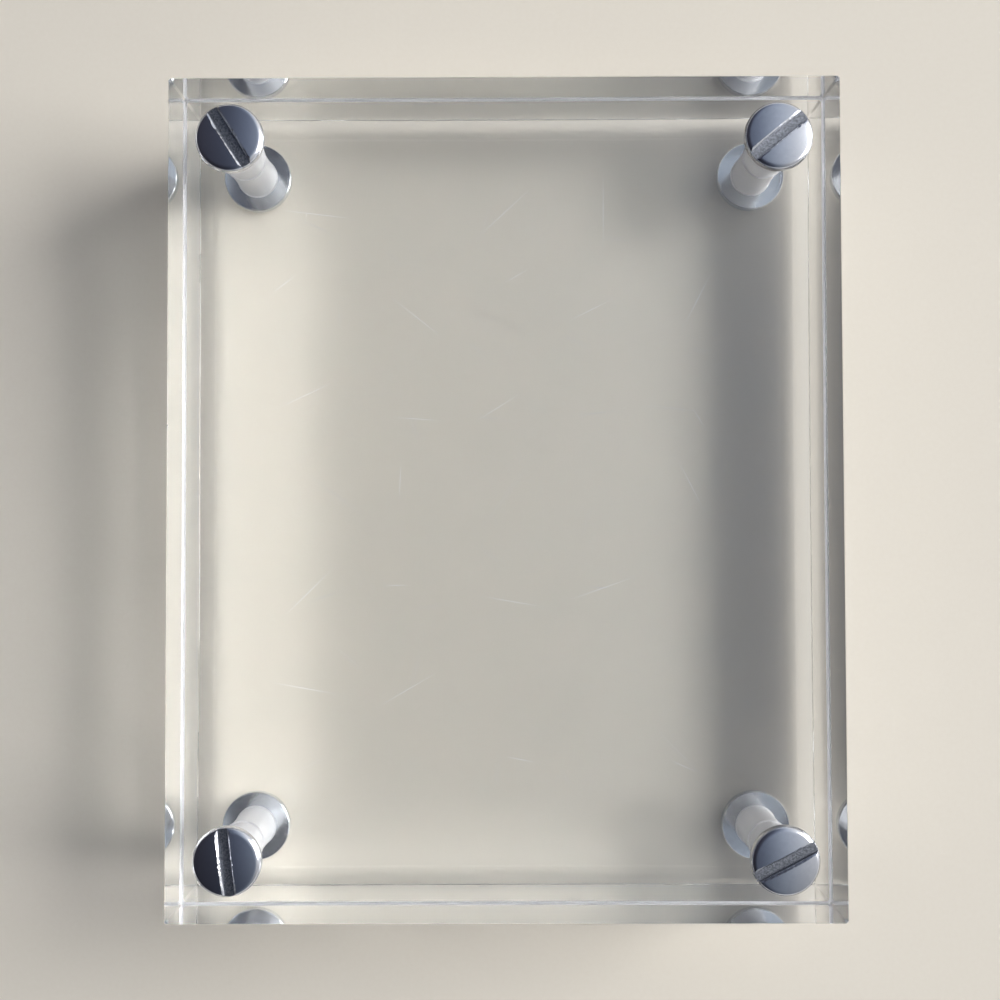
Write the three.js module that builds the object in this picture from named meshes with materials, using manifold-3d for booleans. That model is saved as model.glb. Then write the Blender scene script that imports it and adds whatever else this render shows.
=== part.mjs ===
// Screwdown card holder: two thick clear acrylic plates held together at the corners
// by four slotted screws, each turned into a flanged post that comes up from below.
//
// Millimetres. X runs across the width, Y along the length and Z up.
// The origin is under the middle of the holder, on the surface that its post flanges stand on.

import * as THREE from 'three';
import { mergeVertices } from 'three/addons/utils/BufferGeometryUtils.js';
import Module from 'manifold-3d';

const wasm = await Module();
wasm.setup();

// Plates
const plateWidth = 101.6;
const plateLength = 127;
const plateThickness = 12.7;
const jointBevel = 0.3; // on the edges where the two plates meet
const outerBevel = 0.1; // on the edges of the outer faces
const cardGap = 0.3; // air between the plates, the thickness of a card
const holeInset = 9.525; // from both edges of a corner to the axis of its hole
const holeClearance = 0.375; // between a post's barrel and its hole, all round

// Screws
const headDiameter = 10.3;
const headRimHeight = 0.6;
const headEdgeRadius = 0.9;
const headDomeRise = 0.35;
const slotWidth = 1.5;
const slotDepth = 0.75;
const seatGap = 0.3; // between a plate and the head or the flange that clamps it

// Thread of the screws and posts, right-handed
const threadDiameter = 4.17;
const threadPitch = 0.79375;
const threadDepth = 0.49;
const threadClearance = 0.15; // between the two threads, measured along the radius
const threadLength = 9.5; // from the underside of the head to the tip
const threadRelief = 0.9; // plain neck under the head
const neckUndercut = 0.1; // of the neck below the root of the thread
const tipChamfer = 0.45;

// Posts
const barrelWall = 0.565; // outside the thread
const barrelShortfall = 0.8; // from the underside of the head down to the mouth of the barrel
const tapRunOut = 2; // tapped hole left free below the tip of the screw
const mouthChamfer = 0.3;
const flangeDiameter = 11.1125;
const flangeThickness = 1.6;
const flangeEdgeRadius = 0.9;

// Corners of the holder, with the way each screw's slot points, counted from X towards Y
const corners = [
  { name: 'back_left', x: -1, y: 1, slotAngle: -58 },
  { name: 'back_right', x: 1, y: 1, slotAngle: 39 },
  { name: 'front_left', x: -1, y: -1, slotAngle: -83 },
  { name: 'front_right', x: 1, y: -1, slotAngle: 27 },
];

// Sides of the round surfaces
const roundSides = 32;
const threadSides = 12;
const roundedEdgeSteps = 3;

// Sizes that follow from the ones above
const threadRadius = threadDiameter / 2;
const tapRadius = threadRadius + threadClearance;
const barrelRadius = tapRadius + barrelWall;
const holeRadius = barrelRadius + holeClearance;
const headRadius = headDiameter / 2;
const headHeight = headRimHeight + headEdgeRadius + headDomeRise;
const flangeRadius = flangeDiameter / 2;
const holeX = plateWidth / 2 - holeInset;
const holeY = plateLength / 2 - holeInset;

// Heights of the stack, from the flanges up to the heads
const bottomPlateZ = flangeThickness + seatGap;
const topPlateZ = bottomPlateZ + plateThickness + cardGap;
const headZ = topPlateZ + plateThickness + seatGap;
const barrelTopZ = headZ - barrelShortfall;
const tipZ = headZ - threadLength;
const tapEndZ = tipZ - tapRunOut;

// Materials
const acrylic = new THREE.MeshStandardMaterial({
  color: 0xeaf0ef, roughness: 0.04, metalness: 0, transparent: true, opacity: 0.35,
});
const screwAluminium = new THREE.MeshStandardMaterial({ color: 0xb9bcc4, roughness: 0.25, metalness: 1 });
const postAluminium = new THREE.MeshStandardMaterial({ color: 0xaeb3bb, roughness: 0.35, metalness: 1 });

// A closed three.js geometry as a solid that can be joined and cut
function toSolid(geometry) {
  const bare = geometry.clone();
  bare.deleteAttribute('normal');
  bare.deleteAttribute('uv');
  const merged = mergeVertices(bare);
  return new wasm.Manifold(new wasm.Mesh({
    numProp: 3,
    vertProperties: new Float32Array(merged.attributes.position.array),
    triVerts: new Uint32Array(merged.index.array),
  }));
}

function toGeometry(solid) {
  const mesh = solid.getMesh();
  const geometry = new THREE.BufferGeometry();
  geometry.setAttribute('position', new THREE.BufferAttribute(mesh.vertProperties, 3));
  geometry.setIndex(new THREE.BufferAttribute(mesh.triVerts, 1));
  geometry.computeVertexNormals();
  return geometry;
}

// A round solid about Z from an outline drawn in radius and height
function turned(outline) {
  const lathe = new THREE.LatheGeometry(outline.getPoints(roundedEdgeSteps), roundSides);
  lathe.rotateX(Math.PI / 2);
  return toSolid(lathe);
}

// A plain round bar between two heights
function bar(radius, lowZ, highZ) {
  const outline = new THREE.Path();
  outline.moveTo(0, lowZ);
  outline.lineTo(radius, lowZ);
  outline.lineTo(radius, highZ);
  outline.lineTo(0, highZ);
  return turned(outline);
}

// A long prism with the plate's cross-section: bevels of one size below and another above
function plateProfile(span, length, lowBevel, highBevel) {
  const half = span / 2;
  const shape = new THREE.Shape();
  shape.moveTo(-half + lowBevel, 0);
  shape.lineTo(half - lowBevel, 0);
  shape.lineTo(half, lowBevel);
  shape.lineTo(half, plateThickness - highBevel);
  shape.lineTo(half - highBevel, plateThickness);
  shape.lineTo(-half + highBevel, plateThickness);
  shape.lineTo(-half, plateThickness - highBevel);
  shape.lineTo(-half, lowBevel);
  const prism = new THREE.ExtrudeGeometry(shape, { depth: length, bevelEnabled: false });
  prism.translate(0, 0, -length / 2);
  prism.rotateX(Math.PI / 2);
  return prism;
}

// A plate with all its edges bevelled and a hole at each corner, its lower face at height 0
function plate(lowBevel, highBevel) {
  const acrossX = plateProfile(plateWidth, plateLength, lowBevel, highBevel);
  const acrossY = plateProfile(plateLength, plateWidth, lowBevel, highBevel);
  acrossY.rotateZ(Math.PI / 2);
  let solid = toSolid(acrossX).intersect(toSolid(acrossY));
  const drill = bar(holeRadius, -plateThickness, 2 * plateThickness);
  for (const corner of corners) {
    solid = solid.subtract(drill.translate([corner.x * holeX, corner.y * holeY, 0]));
  }
  return toGeometry(solid);
}

// A right-handed thread as one closed solid. A crest line and a root line, half a pitch higher,
// climb side by side from the start height, and cones close the two ends.
function threadedRod(crestRadius, startZ, turns) {
  const rootRadius = crestRadius - threadDepth;
  const steps = turns * threadSides;
  const positions = [];
  const triangles = [];
  for (let step = 0; step <= steps; step += 1) {
    const angle = (2 * Math.PI * step) / threadSides;
    const z = startZ + (threadPitch * step) / threadSides;
    positions.push(crestRadius * Math.cos(angle), crestRadius * Math.sin(angle), z);
    positions.push(rootRadius * Math.cos(angle), rootRadius * Math.sin(angle), z + threadPitch / 2);
  }
  const lowEnd = positions.length / 3;
  const highEnd = lowEnd + 1;
  positions.push(0, 0, startZ - threadPitch);
  positions.push(0, 0, startZ + (turns + 2) * threadPitch);

  const crest = (step) => 2 * step;
  const root = (step) => 2 * step + 1;
  const flank = (a, b, c, d) => triangles.push(a, b, c, a, c, d);
  for (let step = 0; step < steps; step += 1) {
    flank(crest(step), crest(step + 1), root(step + 1), root(step));
  }
  for (let step = 0; step < steps - threadSides; step += 1) {
    const above = step + threadSides;
    flank(root(step), root(step + 1), crest(above + 1), crest(above));
  }
  for (let step = 0; step < threadSides; step += 1) {
    triangles.push(lowEnd, crest(step + 1), crest(step));
    const last = steps - threadSides + step;
    triangles.push(highEnd, root(last), root(last + 1));
  }
  triangles.push(lowEnd, crest(0), root(0), lowEnd, root(0), crest(threadSides));
  triangles.push(highEnd, root(steps), crest(steps), highEnd, crest(steps), root(steps - threadSides));

  const geometry = new THREE.BufferGeometry();
  geometry.setAttribute('position', new THREE.BufferAttribute(new Float32Array(positions), 3));
  geometry.setIndex(triangles);
  return toSolid(geometry);
}

// The screw's thread and the post's tapped hole start at the same height, so they are in mesh
const threadStartZ = tapEndZ - 2 * threadPitch;
const threadTurns = Math.ceil((headZ - threadStartZ) / threadPitch) + 2;

// A screw on the Z axis: domed head with a slot, plain neck and chamfered thread
function screw() {
  const neckRadius = threadRadius - threadDepth - neckUndercut;
  const threadTopZ = headZ - threadRelief;
  const edgeZ = headZ + headRimHeight;
  const domeZ = headZ + headHeight;
  const domeRadius = headRadius - headEdgeRadius;
  const headAndNeck = new THREE.Path();
  headAndNeck.moveTo(0, threadTopZ - threadPitch);
  headAndNeck.lineTo(neckRadius, threadTopZ - threadPitch);
  headAndNeck.lineTo(neckRadius, headZ);
  headAndNeck.lineTo(headRadius, headZ);
  headAndNeck.lineTo(headRadius, edgeZ);
  headAndNeck.absarc(domeRadius, edgeZ, headEdgeRadius, 0, Math.PI / 2, false);
  headAndNeck.quadraticCurveTo(domeRadius / 2, domeZ, 0, domeZ);

  const slot = new THREE.BoxGeometry(2 * headDiameter, slotWidth, 2 * slotDepth);
  slot.translate(0, 0, domeZ);

  const threadEnds = new THREE.Path();
  threadEnds.moveTo(0, tipZ);
  threadEnds.lineTo(threadRadius - tipChamfer, tipZ);
  threadEnds.lineTo(threadRadius + tipChamfer, tipZ + 2 * tipChamfer);
  threadEnds.lineTo(threadRadius + tipChamfer, threadTopZ);
  threadEnds.lineTo(0, threadTopZ);

  const thread = threadedRod(threadRadius, threadStartZ, threadTurns).intersect(turned(threadEnds));
  return toGeometry(turned(headAndNeck).add(thread).subtract(toSolid(slot)));
}

// A post on the Z axis: flange that the holder stands on, barrel and tapped hole
function post() {
  const outline = new THREE.Path();
  outline.moveTo(0, 0);
  outline.lineTo(flangeRadius - flangeEdgeRadius, 0);
  outline.absarc(flangeRadius - flangeEdgeRadius, flangeEdgeRadius, flangeEdgeRadius, -Math.PI / 2, 0, false);
  outline.lineTo(flangeRadius, flangeThickness);
  outline.lineTo(barrelRadius, flangeThickness);
  outline.lineTo(barrelRadius, barrelTopZ);
  outline.lineTo(0, barrelTopZ);

  const mouth = new THREE.Path();
  const mouthDepth = threadDepth + mouthChamfer;
  mouth.moveTo(0, barrelTopZ - mouthDepth);
  mouth.lineTo(tapRadius - threadDepth, barrelTopZ - mouthDepth);
  mouth.lineTo(tapRadius + 2 * mouthChamfer, barrelTopZ + mouthChamfer);
  mouth.lineTo(0, barrelTopZ + mouthChamfer);

  const tap = threadedRod(tapRadius, threadStartZ, threadTurns);
  const tapDepth = bar(barrelRadius, tapEndZ, headZ);
  return toGeometry(turned(outline).subtract(tap.intersect(tapDepth)).subtract(turned(mouth)));
}

const holder = new THREE.Group();

function addPiece(group, name, geometry, material) {
  const mesh = new THREE.Mesh(geometry, material);
  mesh.name = name;
  group.add(mesh);
  return mesh;
}

addPiece(holder, 'bottom_plate', plate(outerBevel, jointBevel), acrylic).position.z = bottomPlateZ;
addPiece(holder, 'top_plate', plate(jointBevel, outerBevel), acrylic).position.z = topPlateZ;

// Each screw and its post turn together to the angle of the slot, which keeps their threads in mesh
const screwGeometry = screw();
const postGeometry = post();
for (const corner of corners) {
  const fastener = new THREE.Group();
  fastener.position.set(corner.x * holeX, corner.y * holeY, 0);
  fastener.rotation.z = THREE.MathUtils.degToRad(corner.slotAngle);
  addPiece(fastener, `screw_${corner.name}`, screwGeometry, screwAluminium);
  addPiece(fastener, `post_${corner.name}`, postGeometry, postAluminium);
  holder.add(fastener);
}

export default holder;
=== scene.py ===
"""Looks of a screwdown card holder: two thick clear plates, four slotted screws and four flanged posts.

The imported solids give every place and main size. Each piece is made again here as a finer mesh in the
same place, with its finish, and rides on the body of the solid that it stands for. Lengths are in metres.
"""
import math
import random

import bmesh
import bpy
from bpy.props import FloatProperty, FloatVectorProperty, IntProperty, PointerProperty
from mathutils import Matrix, Vector


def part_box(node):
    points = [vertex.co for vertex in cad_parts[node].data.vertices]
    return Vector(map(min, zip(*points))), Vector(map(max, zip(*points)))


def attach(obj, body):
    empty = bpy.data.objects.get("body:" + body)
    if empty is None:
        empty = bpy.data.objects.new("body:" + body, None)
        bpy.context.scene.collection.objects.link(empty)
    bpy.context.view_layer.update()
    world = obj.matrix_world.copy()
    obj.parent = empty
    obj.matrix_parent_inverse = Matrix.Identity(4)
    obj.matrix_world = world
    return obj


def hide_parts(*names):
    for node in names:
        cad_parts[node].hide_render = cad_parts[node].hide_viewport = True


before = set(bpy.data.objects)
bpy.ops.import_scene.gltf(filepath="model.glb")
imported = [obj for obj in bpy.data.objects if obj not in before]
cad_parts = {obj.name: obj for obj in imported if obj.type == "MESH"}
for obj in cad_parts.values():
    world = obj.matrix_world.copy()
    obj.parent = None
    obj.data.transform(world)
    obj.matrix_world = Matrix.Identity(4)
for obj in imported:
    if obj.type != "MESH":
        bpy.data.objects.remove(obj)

bl_info = {
    "name": "Screwdown Card Holder",
    "version": (1, 0, 0),
    "blender": (4, 5, 0),
    "location": "3D View > Sidebar > Card Holder",
    "description": "Makes the finished pieces of a clear screwdown card holder around its solids",
    "category": "Object",
}

MM = 0.001
ACRYLIC_IOR = 1.491
# Material slots of a plate
CLEAR, DRILLED, SCRAPED = range(3)
# What the thread attribute of an outline says
PLAIN, SCREWED, TAPPED = 0, 1, -1
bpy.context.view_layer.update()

# Which way each screw's slot points, counted from X towards Y
SLOT_TURNS = {
    "back_left": math.radians(-58),
    "back_right": math.radians(39),
    "front_left": math.radians(-83),
    "front_right": math.radians(27),
}
BOTTOM_PLATE_LOW, BOTTOM_PLATE_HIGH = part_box("bottom_plate")
TOP_PLATE_LOW, TOP_PLATE_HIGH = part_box("top_plate")
SCREW_LOW, SCREW_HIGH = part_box("screw_back_left")
POST_LOW, POST_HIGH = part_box("post_back_left")


def hex_colour(code):
    """An sRGB hex colour as linear red, green, blue and alpha."""
    shares = [int(code[place:place + 2], 16) / 255 for place in (1, 3, 5)]
    linear = [s / 12.92 if s <= 0.04045 else ((s + 0.055) / 1.055) ** 2.4 for s in shares]
    return (*linear, 1.0)


def corner_centre(corner):
    """The axis of the screw and post at a corner, at height 0."""
    low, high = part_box(f"screw_{corner}")
    return Vector(((low.x + high.x) / 2, (low.y + high.y) / 2, 0))


def head_top(screw):
    """Height of the finished heads, which sit down on the plate."""
    return SCREW_HIGH.z - screw.seat_gap + screw.seat_air


def dome_radius(screw):
    """Radius of the ball that the domed top of a head is part of."""
    edge_centre = screw.head_diameter / 2 - screw.edge_radius
    return edge_centre / math.sin(screw.dome_slope) + screw.edge_radius


def tap_end(post):
    """Height of the lower end of the tapped holes."""
    return POST_HIGH.z - post.tap_depth


# Settings

class PlateSettings(bpy.types.PropertyGroup):
    """Sizes and colours of the two clear plates"""

    joint_bevel: FloatProperty(
        name="Joint Bevel", description="Bevel on the edges where the two plates meet",
        default=0.3 * MM, min=0, unit="LENGTH")
    outer_bevel: FloatProperty(
        name="Outer Bevel", description="Bevel on the edges of the outer faces",
        default=0.1 * MM, min=0, unit="LENGTH")
    corner_bevel: FloatProperty(
        name="Corner Bevel", description="Bevel on the upright corners",
        default=0.3 * MM, min=0, unit="LENGTH")
    card_gap: FloatProperty(
        name="Card Gap", description="Air that is left between the closed plates",
        default=0.02 * MM, min=0, unit="LENGTH")
    hole_diameter: FloatProperty(
        name="Hole Diameter", description="Diameter of the four drilled holes",
        default=6.35 * MM, min=0, unit="LENGTH")
    hole_rim: FloatProperty(
        name="Hole Rim", description="Broken edge at both ends of a hole",
        default=0.22 * MM, min=0, unit="LENGTH")
    hole_sides: IntProperty(
        name="Hole Sides", description="Flat sides that make up a hole's wall", default=96, min=12)
    chip_share: FloatProperty(
        name="Chips", description="Share of the places along an edge that have a chip",
        default=0.035, min=0, max=1, subtype="FACTOR")
    chip_size: FloatProperty(
        name="Chip Size", description="Radius of the largest chip",
        default=0.32 * MM, min=0, unit="LENGTH")
    chip_step: FloatProperty(
        name="Chip Step", description="Distance between the places that may have a chip",
        default=6 * MM, min=0, unit="LENGTH")
    scratch_share: FloatProperty(
        name="Scratches", description="Share of the places in an outer face that have a scratch",
        default=0.7, min=0, max=1, subtype="FACTOR")
    scratch_length: FloatProperty(
        name="Scratch Length", description="Length of the longest scratch",
        default=13 * MM, min=0, unit="LENGTH")
    scratch_width: FloatProperty(
        name="Scratch Width", description="Width of a scratch at its middle",
        default=0.07 * MM, min=0, unit="LENGTH")
    wear_seed: IntProperty(
        name="Wear Seed", description="Chooses where the chips and scratches are", default=4)
    clear_colour: FloatVectorProperty(
        name="Clear Colour", description="Tint of the polished acrylic",
        default=hex_colour("#FFFFFF"), size=4, min=0, max=1, subtype="COLOR")
    frosted_colour: FloatVectorProperty(
        name="Frosted Colour", description="Colour of the drilled walls and the chips",
        default=hex_colour("#DEDFE4"), size=4, min=0, max=1, subtype="COLOR")


class ScrewSettings(bpy.types.PropertyGroup):
    """Sizes and colours of the four slotted screws"""

    head_diameter: FloatProperty(
        name="Head Diameter", description="Diameter of a screw's head",
        default=10.3 * MM, min=0, unit="LENGTH")
    edge_radius: FloatProperty(
        name="Edge Radius", description="Rounding of the head's rim",
        default=0.9 * MM, min=0, unit="LENGTH")
    dome_slope: FloatProperty(
        name="Dome Slope", description="Slope of the domed top where it meets the rounded rim",
        default=math.radians(9.6), min=0, subtype="ANGLE")
    seat_gap: FloatProperty(
        name="Seat Gap", description="Gap under a head of the solids, which the finished head closes",
        default=0.3 * MM, min=0, unit="LENGTH")
    seat_air: FloatProperty(
        name="Seat Air", description="Air between a head or flange and the plate that it clamps",
        default=0.02 * MM, min=0, unit="LENGTH")
    seat_break: FloatProperty(
        name="Seat Edge Break", description="Broken lower edge of the head",
        default=0.15 * MM, min=0, unit="LENGTH")
    slot_width: FloatProperty(
        name="Slot Width", description="Width of the slot at its floor",
        default=1.5 * MM, min=0, unit="LENGTH")
    slot_depth: FloatProperty(
        name="Slot Depth", description="Depth of the slot below the top of the dome",
        default=0.75 * MM, min=0, unit="LENGTH")
    slot_break: FloatProperty(
        name="Slot Edge Break", description="Width of the worn edges of the slot",
        default=0.32 * MM, min=0, unit="LENGTH")
    slot_burr: FloatProperty(
        name="Slot Burr", description="Unevenness of the slot's worn edges",
        default=0.08 * MM, min=0, unit="LENGTH")
    slot_nick: FloatProperty(
        name="Slot Nick", description="Depth of the few nicks in the slot's worn edges",
        default=0.16 * MM, min=0, unit="LENGTH")
    burr_length: FloatProperty(
        name="Burr Length", description="Length of one burr along the slot's edge",
        default=0.7 * MM, min=0, unit="LENGTH")
    thread_diameter: FloatProperty(
        name="Thread Diameter", description="Outer diameter of the screw's thread",
        default=4.17 * MM, min=0, unit="LENGTH")
    thread_pitch: FloatProperty(
        name="Thread Pitch", description="Height that one turn of the thread climbs",
        default=0.79375 * MM, min=0, unit="LENGTH")
    thread_depth: FloatProperty(
        name="Thread Depth", description="Depth of the thread",
        default=0.49 * MM, min=0, unit="LENGTH")
    neck_height: FloatProperty(
        name="Neck Height", description="Height of the plain neck between the head and the thread",
        default=0.9 * MM, min=0, unit="LENGTH")
    neck_undercut: FloatProperty(
        name="Neck Undercut", description="How far the neck is turned below the root of the thread",
        default=0.1 * MM, min=0, unit="LENGTH")
    tip_chamfer: FloatProperty(
        name="Tip Chamfer", description="Chamfer at the tip of the thread",
        default=0.55 * MM, min=0, unit="LENGTH")
    sides: IntProperty(
        name="Sides", description="Flat sides that make up a round surface", default=96, min=12)
    polished_colour: FloatVectorProperty(
        name="Polished Colour", description="Colour of the polished aluminium",
        default=hex_colour("#DADCE2"), size=4, min=0, max=1, subtype="COLOR")
    milled_colour: FloatVectorProperty(
        name="Milled Colour", description="Colour of the aluminium in the slots",
        default=hex_colour("#B2B5BC"), size=4, min=0, max=1, subtype="COLOR")


class PostSettings(bpy.types.PropertyGroup):
    """Sizes and colours of the four flanged posts"""

    flange_diameter: FloatProperty(
        name="Flange Diameter", description="Diameter of a post's flange",
        default=11.1125 * MM, min=0, unit="LENGTH")
    flange_radius: FloatProperty(
        name="Flange Edge Radius", description="Rounding of the flange's lower edge",
        default=0.9 * MM, min=0, unit="LENGTH")
    flange_break: FloatProperty(
        name="Flange Edge Break", description="Broken upper edge of the flange",
        default=0.15 * MM, min=0, unit="LENGTH")
    barrel_diameter: FloatProperty(
        name="Barrel Diameter", description="Outer diameter of a post's barrel",
        default=5.6 * MM, min=0, unit="LENGTH")
    tap_clearance: FloatProperty(
        name="Tap Clearance", description="Radial play between the tapped hole and the screw's thread",
        default=0.15 * MM, min=0, unit="LENGTH")
    tap_depth: FloatProperty(
        name="Tap Depth", description="Depth of the tapped hole below the mouth of the barrel",
        default=10.7 * MM, min=0, unit="LENGTH")
    mouth_chamfer: FloatProperty(
        name="Mouth Chamfer", description="Chamfer at the mouth of the tapped hole",
        default=0.3 * MM, min=0, unit="LENGTH")
    satin_colour: FloatVectorProperty(
        name="Satin Colour", description="Colour of the turned aluminium",
        default=hex_colour("#E4E7EB"), size=4, min=0, max=1, subtype="COLOR")


class StageSettings(bpy.types.PropertyGroup):
    """Floor, light and camera"""

    floor_colour: FloatVectorProperty(
        name="Floor Colour", description="Colour of the plain floor",
        default=hex_colour("#E6DFD2"), size=4, min=0, max=1, subtype="COLOR")
    lamp_power: FloatProperty(
        name="Lamp Power", description="Power of the soft lamp on the right",
        default=66, min=0, unit="POWER")
    lens: FloatProperty(
        name="Lens", description="Focal length on a sensor 36 mm wide",
        default=36.141, min=1, unit="CAMERA")


# Node trees

def find_socket(sockets, key):
    """A socket by its place, or by its name among those in use."""
    if isinstance(key, int):
        return sockets[key]
    return next(socket for socket in sockets if socket.name == key and socket.enabled)


def set_inputs(tree, node, inputs):
    """Sets a node's inputs, each to a value, or linked to a socket or to a list of sockets."""
    for key, value in inputs.items():
        socket = find_socket(node.inputs, key)
        if isinstance(value, bpy.types.NodeSocket):
            tree.links.new(value, socket)
        elif isinstance(value, list):
            for source in value:
                tree.links.new(source, socket)
        else:
            socket.default_value = value


def add_node(tree, kind, inputs=None, output=0, **settings):
    """Adds a node with its settings and its inputs, and returns one of its outputs."""
    node = tree.nodes.new(kind)
    for name, value in settings.items():
        setattr(node, name, value)
    set_inputs(tree, node, inputs or {})
    return find_socket(node.outputs, output) if len(node.outputs) else node


def new_tree(name, inputs):
    """A Geometry Nodes tree with geometry in and out, named inputs, and the sockets of its input node."""
    tree = bpy.data.node_groups.new(name, "GeometryNodeTree")
    tree.interface.new_socket("Geometry", in_out="INPUT", socket_type="NodeSocketGeometry")
    for label, kind in inputs.items():
        tree.interface.new_socket(label, in_out="INPUT", socket_type=f"NodeSocket{kind}")
    tree.interface.new_socket("Geometry", in_out="OUTPUT", socket_type="NodeSocketGeometry")
    return tree, tree.nodes.new("NodeGroupInput").outputs


def end_tree(tree, geometry, material, selection=True):
    """Ends a tree in real geometry with its material, set where the selection holds."""
    real = add_node(tree, "GeometryNodeRealizeInstances", {"Geometry": geometry})
    dressed = add_node(
        tree, "GeometryNodeSetMaterial", {"Geometry": real, "Selection": selection, "Material": material})
    add_node(tree, "NodeGroupOutput", {"Geometry": dressed})


def lathe_tree():
    """Turns an outline round Z. Its points are in order, with X as the radius, and are not moved along Z.
    The point attribute thread says where a screw thread is cut into the outline and where a hole is
    tapped. Screws and posts share one tree."""
    if "lathe" in bpy.data.node_groups:
        return bpy.data.node_groups["lathe"]
    tree, given = new_tree("lathe", {
        "Sides": "Int", "Thread Radius": "Float", "Thread Depth": "Float", "Thread Pitch": "Float",
        "Thread Start": "Float", "Metal": "Material",
    })
    points = add_node(
        tree, "GeometryNodeAttributeDomainSize", {"Geometry": given["Geometry"]}, "Point Count")
    columns = add_node(tree, "ShaderNodeMath", {0: given["Sides"], 1: 1}, operation="ADD")
    sheet = add_node(
        tree, "GeometryNodeMeshGrid", {"Vertices X": columns, "Vertices Y": points}, "Mesh")
    index = add_node(tree, "GeometryNodeInputIndex")
    row = add_node(tree, "ShaderNodeMath", {0: index, 1: points}, operation="MODULO")
    share = add_node(tree, "ShaderNodeMath", {0: index, 1: points}, operation="DIVIDE")
    column = add_node(tree, "ShaderNodeMath", {0: share}, operation="FLOOR")
    turn = add_node(tree, "ShaderNodeMath", {0: column, 1: given["Sides"]}, operation="DIVIDE")

    place = add_node(tree, "GeometryNodeInputPosition")
    outline_place = add_node(
        tree, "GeometryNodeSampleIndex",
        {"Geometry": given["Geometry"], "Value": place, "Index": row}, "Value", data_type="FLOAT_VECTOR")
    thread = add_node(
        tree, "GeometryNodeInputNamedAttribute", {"Name": "thread"}, "Attribute", data_type="FLOAT")
    cut = add_node(
        tree, "GeometryNodeSampleIndex",
        {"Geometry": given["Geometry"], "Value": thread, "Index": row}, "Value", data_type="FLOAT")
    radius, height = (
        add_node(tree, "ShaderNodeSeparateXYZ", {0: outline_place}, axis) for axis in "XZ")

    # Radius of a right-handed thread: its crest climbs with the turn, and its root is half a pitch higher
    climbed = add_node(tree, "ShaderNodeMath", {0: height, 1: given["Thread Start"]}, operation="SUBTRACT")
    pitches = add_node(tree, "ShaderNodeMath", {0: climbed, 1: given["Thread Pitch"]}, operation="DIVIDE")
    phase = add_node(tree, "ShaderNodeMath", {0: pitches, 1: turn}, operation="SUBTRACT")
    ridge = add_node(tree, "ShaderNodeMath", {0: phase, 1: 0.5}, operation="PINGPONG")
    sunk = add_node(tree, "ShaderNodeMath", {0: ridge, 1: 2}, operation="MULTIPLY")
    depth = add_node(tree, "ShaderNodeMath", {0: sunk, 1: given["Thread Depth"]}, operation="MULTIPLY")
    threaded = add_node(tree, "ShaderNodeMath", {0: given["Thread Radius"], 1: depth}, operation="SUBTRACT")
    screwed = add_node(tree, "ShaderNodeMath", {0: radius, 1: threaded}, operation="MINIMUM")
    tapped = add_node(tree, "ShaderNodeMath", {0: radius, 1: threaded}, operation="MAXIMUM")
    is_screw = add_node(tree, "ShaderNodeMath", {0: cut, 1: SCREWED / 2}, operation="GREATER_THAN")
    is_tap = add_node(tree, "ShaderNodeMath", {0: cut, 1: TAPPED / 2}, operation="LESS_THAN")
    with_screw = add_node(tree, "ShaderNodeMix", {"Factor": is_screw, "A": radius, "B": screwed}, "Result")
    final = add_node(tree, "ShaderNodeMix", {"Factor": is_tap, "A": with_screw, "B": tapped}, "Result")

    angle = add_node(tree, "ShaderNodeMath", {0: turn, 1: math.tau}, operation="MULTIPLY")
    along_x = add_node(tree, "ShaderNodeMath", {0: angle}, operation="COSINE")
    along_y = add_node(tree, "ShaderNodeMath", {0: angle}, operation="SINE")
    x = add_node(tree, "ShaderNodeMath", {0: final, 1: along_x}, operation="MULTIPLY")
    y = add_node(tree, "ShaderNodeMath", {0: final, 1: along_y}, operation="MULTIPLY")
    round_place = add_node(tree, "ShaderNodeCombineXYZ", {"X": x, "Y": y, "Z": height})
    turned = add_node(tree, "GeometryNodeSetPosition", {"Geometry": sheet, "Position": round_place})
    weld = 0.001 * MM
    closed = add_node(tree, "GeometryNodeMergeByDistance", {"Geometry": turned, "Distance": weld})
    end_tree(tree, closed, given["Metal"])
    return tree


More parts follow.
